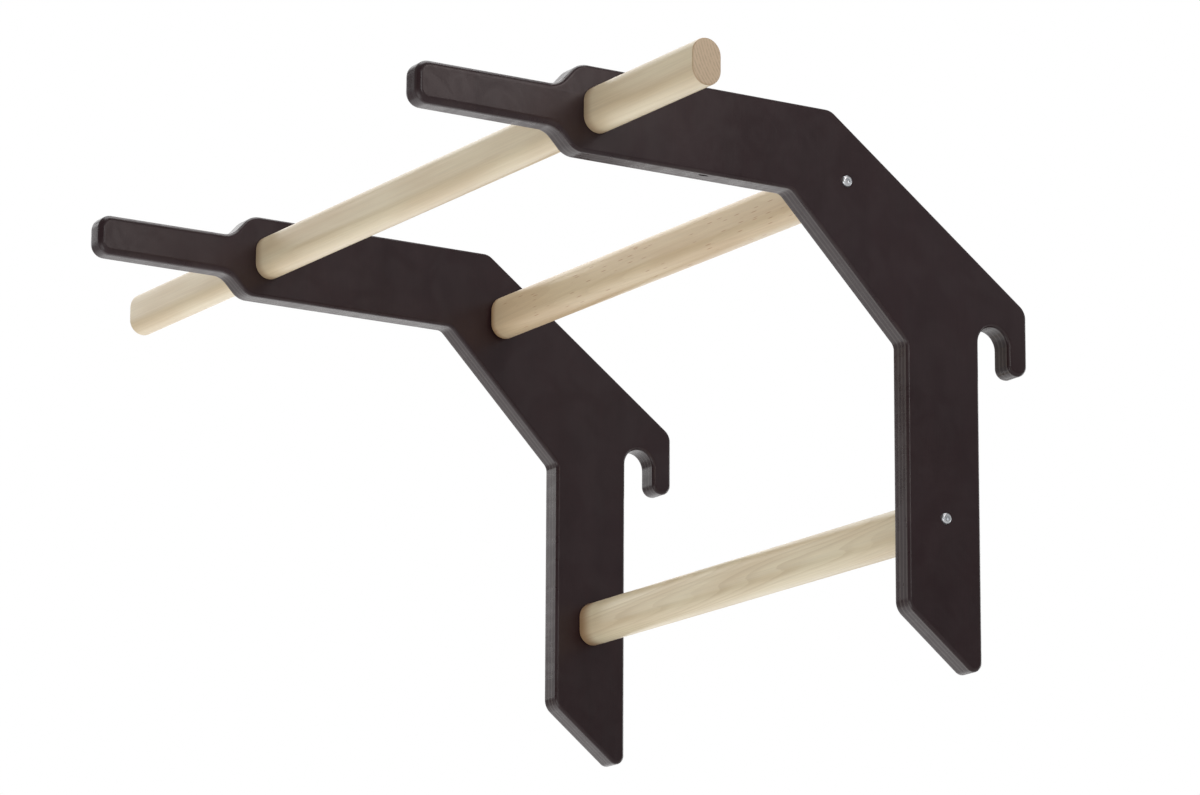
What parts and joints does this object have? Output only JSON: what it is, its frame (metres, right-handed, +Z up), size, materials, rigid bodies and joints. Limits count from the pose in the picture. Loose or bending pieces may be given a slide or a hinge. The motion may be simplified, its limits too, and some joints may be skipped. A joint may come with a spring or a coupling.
{
  "type": "wall bar pull-up attachment",
  "caption": "Wooden pull-up frame that hooks over a rung of wall bars: side plates with front handles and hook slots, joined by oval bars.",
  "frame": {"origin": "centre of the rung seat, the round top of both hook slots, midway between the side plates", "axes": "+X along the bars, +Y towards the wall, +Z up"},
  "size_m": [1.041, 0.6435, 0.4975],
  "materials": {
    "plate": "satin dark stain on birch plywood",
    "bar": "satin clear lacquer on pale hardwood",
    "screw": "bright zinc plating",
    "insert": "plain",
    "dowel": "raw beech"
  },
  "bodies": {
    "root": {"right_side_plate": "plate", "left_side_plate": "plate", "pull_up_bar": "bar", "middle_cross_bar": "bar", "lower_cross_bar": "bar", "middle_bar_screw_right": "screw", "middle_bar_screw_left": "screw", "lower_bar_screw_right": "screw", "lower_bar_screw_left": "screw", "middle_bar_insert_right": "insert", "middle_bar_insert_left": "insert", "lower_bar_insert_right": "insert", "lower_bar_insert_left": "insert", "middle_bar_dowel_right": "dowel", "middle_bar_dowel_left": "dowel", "lower_bar_dowel_right": "dowel", "lower_bar_dowel_left": "dowel", "pull_up_bar_lock_screw_right": "screw", "pull_up_bar_lock_screw_left": "screw"}
  },
  "joints": []
}
